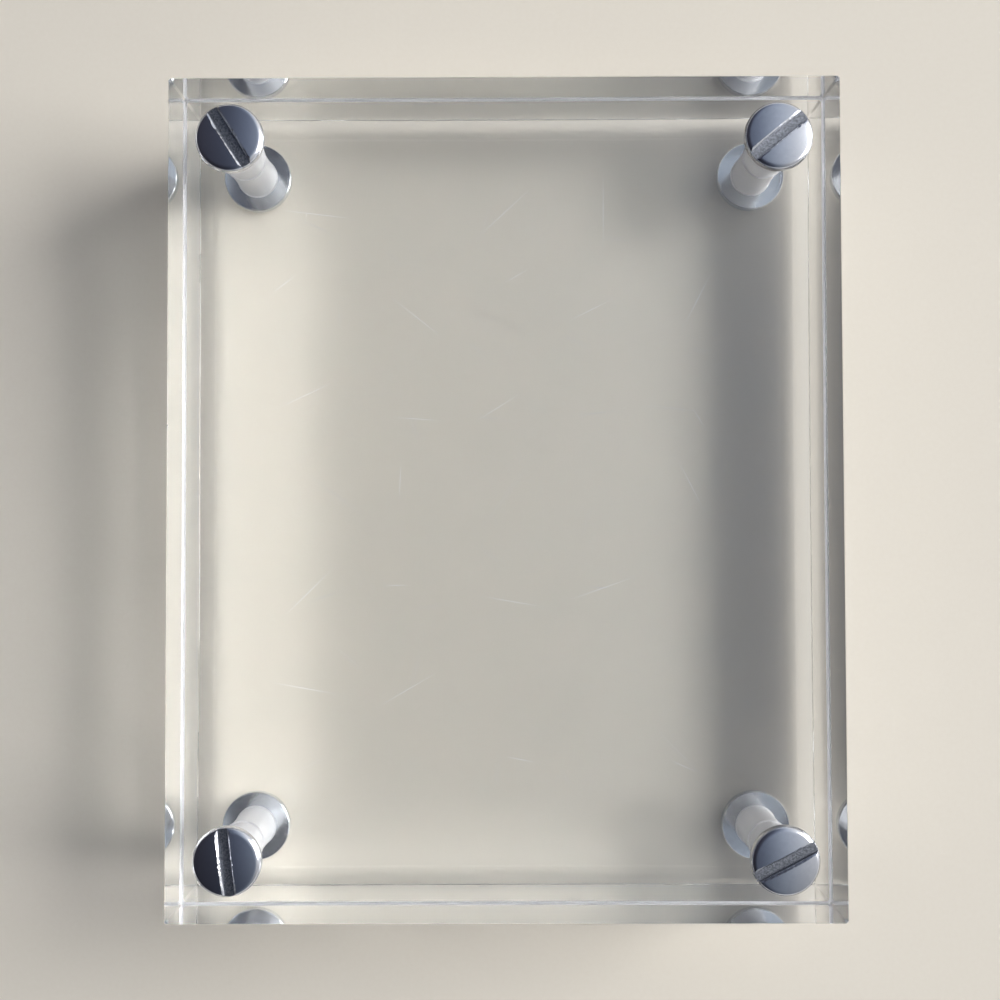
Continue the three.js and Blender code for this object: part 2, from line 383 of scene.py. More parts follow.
def slot_tree():
    """Mills a slot along X into a turned head, with worn, uneven edges."""
    tree, given = new_tree("milled_slot", {
        "Head Top": "Float", "Dome Radius": "Float", "Length": "Float", "Width": "Float", "Depth": "Float",
        "Edge Break": "Float", "Burr": "Float", "Nick": "Float", "Burr Length": "Float", "Seed": "Float",
        "Metal": "Material", "Slot Metal": "Material",
    })
    # The cutter: a bar round the top of the head, with points close enough together to carry the burrs
    height = add_node(tree, "ShaderNodeMath", {0: given["Depth"], 1: 2}, operation="MULTIPLY")
    size = add_node(
        tree, "ShaderNodeCombineXYZ", {"X": given["Length"], "Y": given["Width"], "Z": height})
    bar = add_node(
        tree, "GeometryNodeMeshCube",
        {"Size": size, "Vertices X": 121, "Vertices Y": 3, "Vertices Z": 17}, "Mesh")
    place = add_node(tree, "GeometryNodeInputPosition")
    x, y, z = (add_node(tree, "ShaderNodeSeparateXYZ", {0: place}, axis) for axis in "XYZ")

    # 0 at the slot's floor, 1 at the top of the head
    rise = add_node(tree, "ShaderNodeMath", {0: z, 1: given["Depth"]}, operation="DIVIDE")
    share = add_node(tree, "ShaderNodeMath", {0: rise, 1: 1}, operation="ADD", use_clamp=True)
    side = add_node(tree, "ShaderNodeMath", {0: y}, operation="SIGN")

    # The upper edges follow the dome down towards the rim
    square = add_node(tree, "ShaderNodeMath", {0: x, 1: x}, operation="MULTIPLY")
    chord = add_node(tree, "ShaderNodeMath", {0: square, 1: given["Dome Radius"]}, operation="DIVIDE")
    fall = add_node(tree, "ShaderNodeMath", {0: chord, 1: -0.5}, operation="MULTIPLY")
    sagged = add_node(tree, "ShaderNodeMath", {0: fall, 1: share}, operation="MULTIPLY")

    # Worn edges: an even break, fine burrs and a few deeper nicks
    above = add_node(tree, "ShaderNodeMath", {0: z, 1: given["Edge Break"]}, operation="ADD")
    flare = add_node(tree, "ShaderNodeMath", {0: above, 1: 0}, operation="MAXIMUM")
    grain = add_node(tree, "ShaderNodeMath", {0: 1, 1: given["Burr Length"]}, operation="DIVIDE")
    scaled = add_node(tree, "ShaderNodeVectorMath", {0: place, "Scale": grain}, operation="SCALE")
    fine = add_node(
        tree, "ShaderNodeTexNoise", {"Vector": scaled, "W": given["Seed"], "Scale": 1, "Detail": 3},
        noise_dimensions="4D")
    coarse = add_node(
        tree, "ShaderNodeTexNoise", {"Vector": scaled, "W": given["Seed"], "Scale": 0.45, "Detail": 1},
        noise_dimensions="4D")
    burr = add_node(
        tree, "ShaderNodeMapRange", {"Value": fine, "From Min": 0.25, "From Max": 0.75, "To Min": -1})
    burr_depth = add_node(tree, "ShaderNodeMath", {0: burr, 1: given["Burr"]}, operation="MULTIPLY")
    nick = add_node(tree, "ShaderNodeMapRange", {"Value": coarse, "From Min": 0.56, "From Max": 0.72})
    nick_depth = add_node(tree, "ShaderNodeMath", {0: nick, 1: given["Nick"]}, operation="MULTIPLY")
    wear = add_node(tree, "ShaderNodeMath", {0: burr_depth, 1: nick_depth}, operation="ADD")
    upper = add_node(tree, "ShaderNodeMath", {0: share, 1: 2}, operation="POWER")
    upper_wear = add_node(tree, "ShaderNodeMath", {0: wear, 1: upper}, operation="MULTIPLY")
    widened = add_node(tree, "ShaderNodeMath", {0: flare, 1: upper_wear}, operation="ADD")
    shift_y = add_node(tree, "ShaderNodeMath", {0: widened, 1: side}, operation="MULTIPLY")

    shift_z = add_node(tree, "ShaderNodeMath", {0: sagged, 1: given["Head Top"]}, operation="ADD")
    offset = add_node(tree, "ShaderNodeCombineXYZ", {"Y": shift_y, "Z": shift_z})
    cutter = add_node(tree, "GeometryNodeSetPosition", {"Geometry": bar, "Offset": offset})
    marked = add_node(
        tree, "GeometryNodeSetMaterial", {"Geometry": cutter, "Material": given["Slot Metal"]})
    milled = add_node(
        tree, "GeometryNodeMeshBoolean", {"Mesh 1": given["Geometry"], "Mesh 2": marked}, "Mesh",
        operation="DIFFERENCE", solver="MANIFOLD")
    in_slot = add_node(tree, "GeometryNodeMaterialSelection", {"Material": given["Slot Metal"]})
    outside = add_node(tree, "FunctionNodeBooleanMath", {0: in_slot}, operation="NOT")
    end_tree(tree, milled, given["Metal"], outside)
    return tree


def chip_tree():
    """Knocks chips out of both outlines of a plate, at seeded places."""
    tree, given = new_tree("chipped_plate", {
        "Width": "Float", "Length": "Float", "Low Edge": "Float", "High Edge": "Float", "Chips": "Float",
        "Chip Size": "Float", "Chip Step": "Float", "Seed": "Int", "Scraped Acrylic": "Material",
    })
    outline = add_node(
        tree, "GeometryNodeCurvePrimitiveQuadrilateral",
        {"Width": given["Width"], "Height": given["Length"]})
    rings = []
    for edge in ("Low Edge", "High Edge"):
        height = add_node(tree, "ShaderNodeCombineXYZ", {"Z": given[edge]})
        rings.append(add_node(tree, "GeometryNodeTransform", {"Geometry": outline, "Translation": height}))
    both_rings = add_node(tree, "GeometryNodeJoinGeometry", {"Geometry": rings})
    places = add_node(
        tree, "GeometryNodeCurveToPoints", {"Curve": both_rings, "Length": given["Chip Step"]}, "Points",
        mode="LENGTH")
    chosen = add_node(
        tree, "FunctionNodeRandomValue", {"Probability": given["Chips"], "Seed": given["Seed"]}, "Value",
        data_type="BOOLEAN")
    any_turn = add_node(
        tree, "FunctionNodeRandomValue",
        {"Max": (math.tau, math.tau, math.tau), "Seed": given["Seed"]}, "Value", data_type="FLOAT_VECTOR")
    smallest = 0.4
    small = add_node(tree, "ShaderNodeMath", {0: given["Chip Size"], 1: smallest}, operation="MULTIPLY")
    chip_size = add_node(
        tree, "FunctionNodeRandomValue",
        {"Min": small, "Max": given["Chip Size"], "Seed": given["Seed"]}, "Value", data_type="FLOAT")
    flake = add_node(tree, "GeometryNodeMeshIcoSphere", {"Radius": 1, "Subdivisions": 2}, "Mesh")
    scraped_flake = add_node(
        tree, "GeometryNodeSetMaterial", {"Geometry": flake, "Material": given["Scraped Acrylic"]})
    flakes = add_node(
        tree, "GeometryNodeInstanceOnPoints",
        {"Points": places, "Selection": chosen, "Instance": scraped_flake, "Rotation": any_turn,
         "Scale": chip_size})
    solid_flakes = add_node(tree, "GeometryNodeRealizeInstances", {"Geometry": flakes})
    chipped = add_node(
        tree, "GeometryNodeMeshBoolean", {"Mesh 1": given["Geometry"], "Mesh 2": solid_flakes}, "Mesh",
        operation="DIFFERENCE", solver="MANIFOLD")
    in_chip = add_node(tree, "GeometryNodeMaterialSelection", {"Material": given["Scraped Acrylic"]})
    end_tree(tree, chipped, given["Scraped Acrylic"], in_chip)
    return tree


# Pieces

def new_object(name, data):
    """An object in the scene with its mesh, light or camera."""
    made = bpy.data.objects.new(name, data)
    bpy.context.scene.collection.objects.link(made)
    return made


def add_tree(piece, tree, values):
    """Puts a tree on a piece and sets its named inputs."""
    modifier = piece.modifiers.new(tree.name, "NODES")
    modifier.node_group = tree
    for item in tree.interface.items_tree:
        if item.in_out == "INPUT" and item.name in values:
            modifier[item.identifier] = values[item.name]


def make_plain(piece):
    """Turns what a piece's trees make into its own plain mesh."""
    graph = bpy.context.evaluated_depsgraph_get()
    mesh = bpy.data.meshes.new_from_object(
        piece.evaluated_get(graph), preserve_all_data_layers=True, depsgraph=graph)
    piece.modifiers.clear()
    piece.data = mesh


def dress(piece, body, node):
    """Lets a finished piece ride on a body, in place of a solid."""
    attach(piece, body)
    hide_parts(node)


def plate_outline(half_x, half_y, corner, z):
    """The corners of a plate's outline, each cut by a small bevel, counter-clockwise."""
    points = []
    for x, y in ((1, -1), (1, 1), (-1, 1), (-1, -1)):
        on_end = Vector((x * (half_x - corner), y * half_y, z))
        on_side = Vector((x * half_x, y * (half_y - corner), z))
        points += [on_end, on_side] if x * y < 0 else [on_side, on_end]
    return points


def circle(centre, radius, sides, z):
    """The corners of a round outline at a height, counter-clockwise."""
    angles = [math.tau * step / sides for step in range(sides)]
    return [Vector((centre.x + radius * math.cos(a), centre.y + radius * math.sin(a), z)) for a in angles]


def add_wall(mesh, rings, material):
    """Joins rings of vertices, one above the other, by four-sided faces."""
    for low, high in zip(rings, rings[1:]):
        for here in range(len(low)):
            after = (here + 1) % len(low)
            face = mesh.faces.new((low[here], low[after], high[after], high[here]))
            face.material_index = material


def scratch_places(settings, seed):
    """Middle, half length and turn of each scratch in an outer face. A scratch stays in its own cell of a
    grid that ends short of the holes, so that none crosses another."""
    draw = random.Random(seed)
    longest = settings.scratch_length
    # Shares of the longest scratch
    shortest_share = 0.3
    cell_share = 1.1
    cell = cell_share * longest
    hole = settings.hole_diameter / 2 + settings.hole_rim
    columns, rows = (math.floor(2 * (axis - hole) / cell) for axis in corner_centre("back_right").xy)
    places = []
    for column in range(columns):
        for row in range(rows):
            half_length = draw.uniform(shortest_share, 1) * longest / 2
            play = cell / 2 - half_length
            x = (column + 0.5 - columns / 2) * cell + draw.uniform(-play, play)
            y = (row + 0.5 - rows / 2) * cell + draw.uniform(-play, play)
            turn = draw.uniform(0, math.pi)
            if draw.random() < settings.scratch_share:
                places.append((x, y, half_length, turn))
    return places


def add_groove(mesh, middle, half_length, turn, half_width, sunk):
    """Sinks a scratch into a face as four slopes down to its deepest point, and returns its rim."""
    along = half_length * Vector((math.cos(turn), math.sin(turn), 0))
    across = half_width * Vector((-math.sin(turn), math.cos(turn), 0))
    rim = [mesh.verts.new(middle + step) for step in (along, across, -along, -across)]
    deepest = mesh.verts.new(middle + Vector((0, 0, sunk)))
    for here, vertex in enumerate(rim):
        face = mesh.faces.new((rim[here - 1], vertex, deepest))
        face.material_index = SCRAPED
    return rim


def fill_face(mesh, rings):
    """Fills a flat face between an outer ring and the rings of its holes and scratches."""
    edges = []
    for ring in rings:
        for here, vertex in enumerate(ring):
            edges.append(mesh.edges.get((vertex, ring[here - 1])))
    bmesh.ops.triangle_fill(mesh, use_beauty=True, edges=edges)


def plate_mesh(name, low, high, low_edge, high_edge, outer_face, seed, settings):
    """A clear plate with a drilled hole at each corner and a scratched outer face. An edge is its bevel's
    size and material."""
    mesh = bmesh.new()
    low_bevel, low_material = low_edge
    high_bevel, high_material = high_edge

    def ring(points):
        return [mesh.verts.new(point) for point in points]

    outer = []
    levels = (
        (low.z, low_bevel), (low.z + low_bevel, 0), (high.z - high_bevel, 0), (high.z, high_bevel))
    for z, inset in levels:
        outer.append(ring(plate_outline(high.x - inset, high.y - inset, settings.corner_bevel, z)))
    add_wall(mesh, outer[:2], low_material)
    add_wall(mesh, outer[1:3], CLEAR)
    add_wall(mesh, outer[2:], high_material)
    rings = {low.z: [outer[0]], high.z: [outer[-1]]}
    rim = settings.hole_rim
    radius = settings.hole_diameter / 2
    for corner in SLOT_TURNS:
        centre = corner_centre(corner)
        hole = []
        for z, wider in ((low.z, rim), (low.z + rim, 0), (high.z - rim, 0), (high.z, rim)):
            hole.append(ring(circle(centre, radius + wider, settings.hole_sides, z)))
        add_wall(mesh, hole, DRILLED)
        rings[low.z].append(hole[0])
        rings[high.z].append(hole[-1])
    half_width = settings.scratch_width / 2
    sunk = half_width if outer_face == low.z else -half_width
    for x, y, half_length, turn in scratch_places(settings, seed):
        middle = Vector((x, y, outer_face))
        rings[outer_face].append(add_groove(mesh, middle, half_length, turn, half_width, sunk))

    # Filling a face drops details under 0.03 units, so it is done in millimetres
    bmesh.ops.scale(mesh, vec=Vector.Fill(3, 1 / MM), verts=mesh.verts)
    for face_rings in rings.values():
        fill_face(mesh, face_rings)
    bmesh.ops.scale(mesh, vec=Vector.Fill(3, MM), verts=mesh.verts)
    bmesh.ops.recalc_face_normals(mesh, faces=mesh.faces)
    data = bpy.data.meshes.new(name)
    mesh.to_mesh(data)
    mesh.free()
    return data


def arc(centre_radius, centre_height, radius, start, end, steps):
    """Points of an arc in an outline. Angles count from straight out towards up."""
    angles = [start + (end - start) * step / steps for step in range(steps + 1)]
    return [(centre_radius + radius * math.cos(a), centre_height + radius * math.sin(a)) for a in angles]


def outline_mesh(name, stretches):
    """An outline as points in order. A stretch is its points and what its thread attribute says."""
    data = bpy.data.meshes.new(name)
    points = [(r, 0, z) for stretch, cut in stretches for r, z in stretch]
    cuts = [cut for stretch, cut in stretches for point in stretch]
    data.from_pydata(points, [(here, here + 1) for here in range(len(points) - 1)], [])
    data.attributes.new("thread", "FLOAT", "POINT").data.foreach_set("value", cuts)
    return data


def thread_rows(radius, start, end, pitch):
    """Points along a threaded stretch, close enough together to show the thread."""
    rows_per_pitch = 12
    rows = math.ceil(abs(end - start) / pitch * rows_per_pitch)
    return [(radius, start + (end - start) * row / rows) for row in range(rows + 1)]


def thread_inputs(screw, post, clearance=0):
    """The lathe's inputs for a thread, which starts some turns below the tapped holes. The solids have it
    there too, so all threads mesh."""
    lead_turns = 2
    return {
        "Sides": screw.sides,
        "Thread Radius": screw.thread_diameter / 2 + clearance,
        "Thread Depth": screw.thread_depth,
        "Thread Pitch": screw.thread_pitch,
        "Thread Start": tap_end(post) - lead_turns * screw.thread_pitch,
    }


def screw_outline(settings):
    """A screw's outline in stretches, from the tip of its thread to the top of its domed head."""
    radius = settings.head_diameter / 2
    edge = settings.edge_radius
    slope = settings.dome_slope
    ball = dome_radius(settings)
    top = head_top(settings)
    edge_height = top - ball * (1 - math.cos(slope)) - edge * math.cos(slope)
    seat = TOP_PLATE_HIGH.z + settings.seat_air
    crest = settings.thread_diameter / 2
    neck = crest - settings.thread_depth - settings.neck_undercut
    tip = SCREW_LOW.z
    thread_top = seat - settings.neck_height
    full_thread = tip + settings.tip_chamfer
    rim_steps = 14
    rim = arc(radius - edge, edge_height, edge, 0, math.pi / 2 - slope, rim_steps)
    dome_steps = 20
    dome = [
        (ball * math.sin(a), top - ball * (1 - math.cos(a)))
        for a in (slope * (dome_steps - step) / dome_steps for step in range(1, dome_steps + 1))
    ]
    return [
        ([(0, tip), (crest - settings.tip_chamfer, tip)], PLAIN),
        (thread_rows(crest, full_thread, thread_top, settings.thread_pitch), SCREWED),
        ([(neck, thread_top), (neck, seat), (radius - settings.seat_break, seat)], PLAIN),
        ([(radius, seat + settings.seat_break), *rim, *dome], PLAIN),
    ]


def post_outline(settings, screw):
    """A post's outline in stretches, from the middle of its foot over flange and barrel to the bottom of
    its tapped hole."""
    foot = POST_LOW.z
    flange = settings.flange_diameter / 2
    barrel = settings.barrel_diameter / 2
    rounding = settings.flange_radius
    broken = settings.flange_break
    flange_top = BOTTOM_PLATE_LOW.z - screw.seat_air
    mouth_top = POST_HIGH.z
    tap = screw.thread_diameter / 2 + settings.tap_clearance
    drilled = tap - screw.thread_depth
    mouth = tap + settings.mouth_chamfer
    drill_slope = math.radians(31)
    drill_point = drilled * math.tan(drill_slope)
    mouth_depth = mouth - drilled
    rounding_steps = 8
    outside = [
        (0, foot), *arc(flange - rounding, foot + rounding, rounding, -math.pi / 2, 0, rounding_steps),
        (flange, flange_top - broken), (flange - broken, flange_top), (barrel, flange_top),
        (barrel, mouth_top - broken), (barrel - broken, mouth_top), (mouth, mouth_top),
    ]
    hole_end = tap_end(settings)
    bore = thread_rows(drilled, mouth_top - mouth_depth, hole_end, screw.thread_pitch)
    return [(outside, PLAIN), (bore, TAPPED), ([(0, hole_end - drill_point)], PLAIN)]


def place_turned(piece, corner):
    """Keeps where each point was on the lathe for the finish, turns the piece to its slot's angle, moves it
    to its corner and shades its round surfaces smooth."""
    data = piece.data
    lathe = data.attributes.new("lathe_place", "FLOAT_VECTOR", "POINT")
    lathe.data.foreach_set("vector", [value for vertex in data.vertices for value in vertex.co])
    turn = Matrix.Rotation(SLOT_TURNS[corner], 4, "Z")
    data.transform(Matrix.Translation(corner_centre(corner)) @ turn)
    data.shade_smooth()
    sharp_angle = math.radians(32)
    data.set_sharp_from_angle(angle=sharp_angle)


# Materials

def new_material(name):
    """A material with its node tree and its Principled shader."""
    material = bpy.data.materials.new(name)
    material.use_nodes = True
    tree = material.node_tree
    return material, tree, tree.nodes["Principled BSDF"]


def polished_acrylic(settings):
    """Cast acrylic sheet with polished faces and edges: clear as water, with sharp reflections and a breath
    of haze where it was handled."""
    material, tree, shader = new_material("cast_acrylic_polished")
    place = add_node(tree, "ShaderNodeTexCoord", None, "Object")
    smudge = 7 * MM
    smudges = add_node(tree, "ShaderNodeTexNoise", {"Vector": place, "Scale": 1 / smudge, "Detail": 0})
    haze = add_node(tree, "ShaderNodeMapRange", {"Value": smudges, "To Min": 0, "To Max": 0.006})
    tint = add_node(
        tree, "ShaderNodeMix",
        {"Factor": smudges, "A": settings.clear_colour, "B": hex_colour("#FDFEFE")}, "Result",
        data_type="RGBA")
    set_inputs(tree, shader, {
        "Base Color": tint, "Roughness": haze, "IOR": ACRYLIC_IOR, "Transmission Weight": 1.0,
    })
    return material


def frosted_acrylic(name, settings, ring_height, roughness):
    """Acrylic that was cut and left unpolished: white and matt, with fine rings from the tool."""
    material, tree, shader = new_material(name)
    place = add_node(tree, "ShaderNodeTexCoord", None, "Object")
    # At scale 1 the waves turn by this many radians over one unit
    wave_turn = 20
    rings = add_node(
        tree, "ShaderNodeTexWave",
        {"Vector": place, "Scale": math.tau / ring_height / wave_turn, "Distortion": 1.5, "Detail": 2,
         "Detail Scale": 2},
        "Fac", bands_direction="Z")
    # Real grit is finer, but would not show
    grit_size = 0.2 * MM
    grit = add_node(tree, "ShaderNodeTexNoise", {"Vector": place, "Scale": 1 / grit_size, "Detail": 2})
    tone = add_node(
        tree, "ShaderNodeMix",
        {"Factor": grit, "A": settings.frosted_colour, "B": hex_colour("#F4F4F6")}, "Result",
        data_type="RGBA")
    relief = add_node(tree, "ShaderNodeMath", {0: rings, 1: grit}, operation="ADD")
    bump = add_node(tree, "ShaderNodeBump", {"Height": relief, "Strength": 0.3, "Distance": 0.02 * MM})
    spread = 0.08
    matt = add_node(
        tree, "ShaderNodeMapRange",
        {"Value": grit, "To Min": roughness - spread, "To Max": roughness + spread})
    set_inputs(tree, shader, {
        "Base Color": tone, "Roughness": matt, "Normal": bump, "IOR": ACRYLIC_IOR,
        "Transmission Weight": 0.3,
    })
    return material


def turned_aluminium(name, colour, dark_colour, roughness, ring_width, ring_depth):
    """Aluminium turned on a lathe: silver, with fine rings round the axis and a faintly mottled surface.
    The rings are wider than real turning marks, which would not show."""
    material, tree, shader = new_material(name)
    lathe = add_node(tree, "ShaderNodeAttribute", None, "Vector", attribute_name="lathe_place")
    flat = add_node(tree, "ShaderNodeVectorMath", {0: lathe, 1: (1, 1, 0)}, operation="MULTIPLY")
    radius = add_node(tree, "ShaderNodeVectorMath", {0: flat}, "Value", operation="LENGTH")
    steps = add_node(tree, "ShaderNodeMath", {0: radius, 1: 1 / ring_width}, operation="MULTIPLY")
    rings = add_node(
        tree, "ShaderNodeTexNoise", {"W": steps, "Scale": 1, "Detail": 2}, noise_dimensions="1D")
    place = add_node(tree, "ShaderNodeTexCoord", None, "Object")
    mottle_size = 0.9 * MM
    mottle = add_node(
        tree, "ShaderNodeTexNoise", {"Vector": place, "Scale": 1 / mottle_size, "Detail": 5})
    tone = add_node(
        tree, "ShaderNodeMix", {"Factor": mottle, "A": colour, "B": dark_colour}, "Result",
        data_type="RGBA")
    wear = 0.13
    worn = add_node(
        tree, "ShaderNodeMapRange",
        {"Value": mottle, "From Min": 0.3, "From Max": 0.7,
         "To Min": roughness * (1 - wear), "To Max": roughness * (1 + wear)})
    bump = add_node(tree, "ShaderNodeBump", {"Height": rings, "Strength": 0.35, "Distance": ring_depth})
    set_inputs(tree, shader, {
        "Base Color": tone, "Metallic": 1.0, "Roughness": worn, "Normal": bump,
    })
    return material


def milled_aluminium(settings):
    """Aluminium cut by a slitting saw and worked by screwdrivers: a dull, pitted grey floor, and bright
    edges where the blade rubs."""
    material, tree, shader = new_material("aluminium_milled_slot")
    lathe = add_node(tree, "ShaderNodeAttribute", None, "Vector", attribute_name="lathe_place")
    pit_size = 0.25 * MM
    marks = add_node(tree, "ShaderNodeTexNoise", {"Vector": lathe, "Scale": 1 / pit_size, "Detail": 4})
    patches = add_node(tree, "ShaderNodeMapRange", {"Value": marks, "From Min": 0.35, "From Max": 0.75})
    dull = add_node(
        tree, "ShaderNodeMix",
        {"Factor": patches, "A": hex_colour("#6E7076"), "B": settings.milled_colour}, "Result",
        data_type="RGBA")
    height = add_node(tree, "ShaderNodeSeparateXYZ", {0: lathe}, "Z")
    floor = head_top(settings) - settings.slot_depth
    dull_height = 0.1 * MM
    rubbed_height = 0.3 * MM
    rubbed = add_node(
        tree, "ShaderNodeMapRange",
        {"Value": height, "From Min": floor + dull_height, "From Max": floor + rubbed_height})
    tone = add_node(
        tree, "ShaderNodeMix", {"Factor": rubbed, "A": dull, "B": settings.polished_colour}, "Result",
        data_type="RGBA")
    rough_floor = add_node(tree, "ShaderNodeMapRange", {"Value": marks, "To Min": 0.55, "To Max": 0.35})
    rough = add_node(tree, "ShaderNodeMix", {"Factor": rubbed, "A": rough_floor, "B": 0.25}, "Result")
    bump = add_node(tree, "ShaderNodeBump", {"Height": marks, "Strength": 0.3, "Distance": 0.03 * MM})
    set_inputs(tree, shader, {
        "Base Color": tone, "Metallic": 1.0, "Roughness": rough, "Normal": bump,
    })
    return material


def studio_paper(settings):
    """Pale paper sweep: matt, with a trace of fibre."""
    material, tree, shader = new_material("studio_paper_pale")
    place = add_node(tree, "ShaderNodeTexCoord", None, "Object")
    fibre = 0.8 * MM
    fibres = add_node(tree, "ShaderNodeTexNoise", {"Vector": place, "Scale": 1 / fibre, "Detail": 3})
    tone = add_node(
        tree, "ShaderNodeMix",
        {"Factor": fibres, "A": settings.floor_colour, "B": hex_colour("#E3DBCD")}, "Result",
        data_type="RGBA")
    set_inputs(tree, shader, {"Base Color": tone, "Roughness": 0.85, "Specular IOR Level": 0.2})
    return material


# Stage

def studio_floor(settings):
    """A wide, flat floor, a hair's breadth below the posts."""
    half_size = 6.0
    drop = 0.02 * MM
    corners = [(x * half_size, y * half_size, 0) for x, y in ((-1, -1), (1, -1), (1, 1), (-1, 1))]
    data = bpy.data.meshes.new("floor")
    data.from_pydata(corners, [], [(0, 1, 2, 3)])
    data.materials.append(studio_paper(settings))
    floor = new_object("floor", data)
    floor.location.z = -drop


def soft_lamp(settings):
    """A large soft lamp to the right of the holder, aimed at it."""
    data = bpy.data.lights.new("soft_lamp", "AREA")
    data.shape = "SQUARE"
    data.size = 1.5
    data.energy = settings.lamp_power
    lamp = new_object("soft_lamp", data)
    lamp.location = (1.9, 0.4, 1.03)
    lamp.rotation_euler = (-lamp.location).to_track_quat("-Z", "Y").to_euler()


def studio_light():
    """Light from all round: dark on the left, bright on the right, dim in front, pale at the horizon."""
    world = bpy.data.worlds.new("studio")
    world.use_nodes = True
    bpy.context.scene.world = world
    tree = world.node_tree
    tree.nodes.clear()
    way = add_node(tree, "ShaderNodeTexCoord", None, "Generated")
    to_right, forward, up = (
        add_node(tree, "ShaderNodeSeparateXYZ", {0: way}, axis) for axis in "XYZ")
    across = add_node(tree, "ShaderNodeMapRange", {"Value": to_right, "From Min": -1, "From Max": 1})
    toned = add_node(tree, "ShaderNodeValToRGB", {0: across})
    tones = (
        (0.2, "#3A3942"), (0.38, "#4C5160"), (0.5, "#717A8D"), (0.56, "#98A2B2"), (0.64, "#C2CBD8"),
        (0.8, "#FFFFFF"),
    )
    stops = toned.node.color_ramp.elements
    while len(stops) < len(tones):
        stops.new(0.5)
    for stop, (position, tone) in zip(stops, tones):
        stop.position = position
        stop.color = hex_colour(tone)
    shade = add_node(
        tree, "ShaderNodeMapRange",
        {"Value": forward, "From Min": -0.7, "From Max": 0.3, "To Min": 0.4, "To Max": 1})
    shaded = add_node(
        tree, "ShaderNodeMix", {"Factor": 1, "A": toned, "B": shade}, "Result",
        data_type="RGBA", blend_type="MULTIPLY")
    bright_side = add_node(
        tree, "ShaderNodeMapRange", {"Value": to_right, "From Min": -0.4, "From Max": 0.35},
        interpolation_type="SMOOTHSTEP")
    horizon = add_node(
        tree, "ShaderNodeMix",
        {"Factor": bright_side, "A": hex_colour("#8E929A"), "B": hex_colour("#FFFFFF")}, "Result",
        data_type="RGBA")
    level = add_node(
        tree, "ShaderNodeMapRange", {"Value": up, "From Min": 0.25, "From Max": 0.02},
        interpolation_type="SMOOTHSTEP")
    sky = add_node(
        tree, "ShaderNodeMix", {"Factor": level, "A": shaded, "B": horizon}, "Result",
        data_type="RGBA")
    background = add_node(tree, "ShaderNodeBackground", {"Color": sky})
    add_node(tree, "ShaderNodeOutputWorld", {"Surface": background})


def photo_camera(settings):
    """A camera above the holder, where the plates' edges fall as they do in the photograph."""
    data = bpy.data.cameras.new("camera")
    data.lens = settings.lens
    data.clip_start = 0.01
    camera = new_object("camera", data)
    camera.location = (-0.221 * MM, -4.146 * MM, 177.915 * MM)
    camera.rotation_euler = [math.radians(angle) for angle in (1.365, 0.197, -0.15)]
    return camera


# Operators

class CARDHOLDER_OT_acrylic_plates(bpy.types.Operator):
    """Makes the two clear plates with bevelled edges, drilled holes, small chips and scratches"""

    bl_idname = "card_holder.acrylic_plates"
    bl_label = "Acrylic Plates"

    def execute(self, context):
        settings = context.scene.card_holder_plates
        clear = polished_acrylic(settings)
        drilled = frosted_acrylic("cast_acrylic_drilled", settings, ring_height=0.35 * MM, roughness=0.6)
        scraped = frosted_acrylic("cast_acrylic_scraped", settings, ring_height=0.1 * MM, roughness=0.45)
        chips = chip_tree()
        middle = (BOTTOM_PLATE_HIGH.z + TOP_PLATE_LOW.z) / 2
        bottom_high = Vector((*BOTTOM_PLATE_HIGH.xy, middle - settings.card_gap / 2))
        top_low = Vector((*TOP_PLATE_LOW.xy, middle + settings.card_gap / 2))
        outer_edge = (settings.outer_bevel, CLEAR)
        joint_edge = (settings.joint_bevel, SCRAPED)
        sharp_angle = math.radians(20)
        plates = (
            ("bottom", "base", BOTTOM_PLATE_LOW, bottom_high, outer_edge, joint_edge, BOTTOM_PLATE_LOW.z),
            ("top", "top_plate", top_low, TOP_PLATE_HIGH, joint_edge, outer_edge, TOP_PLATE_HIGH.z),
        )
        for number, (name, body, low, high, low_edge, high_edge, outer_face) in enumerate(plates):
            seed = settings.wear_seed + number
            mesh = plate_mesh(name, low, high, low_edge, high_edge, outer_face, seed, settings)
            piece = new_object(f"clear_{name}_plate", mesh)
            for material in (clear, drilled, scraped):
                piece.data.materials.append(material)
            add_tree(piece, chips, {
                "Width": high.x - low.x, "Length": high.y - low.y, "Low Edge": low.z, "High Edge": high.z,
                "Chips": settings.chip_share, "Chip Size": settings.chip_size,
                "Chip Step": settings.chip_step, "Seed": seed, "Scraped Acrylic": scraped,
            })
            make_plain(piece)
            for face in piece.data.polygons:
                face.use_smooth = face.material_index == DRILLED
            piece.data.set_sharp_from_angle(angle=sharp_angle)
            dress(piece, body, f"{name}_plate")
        return {"FINISHED"}


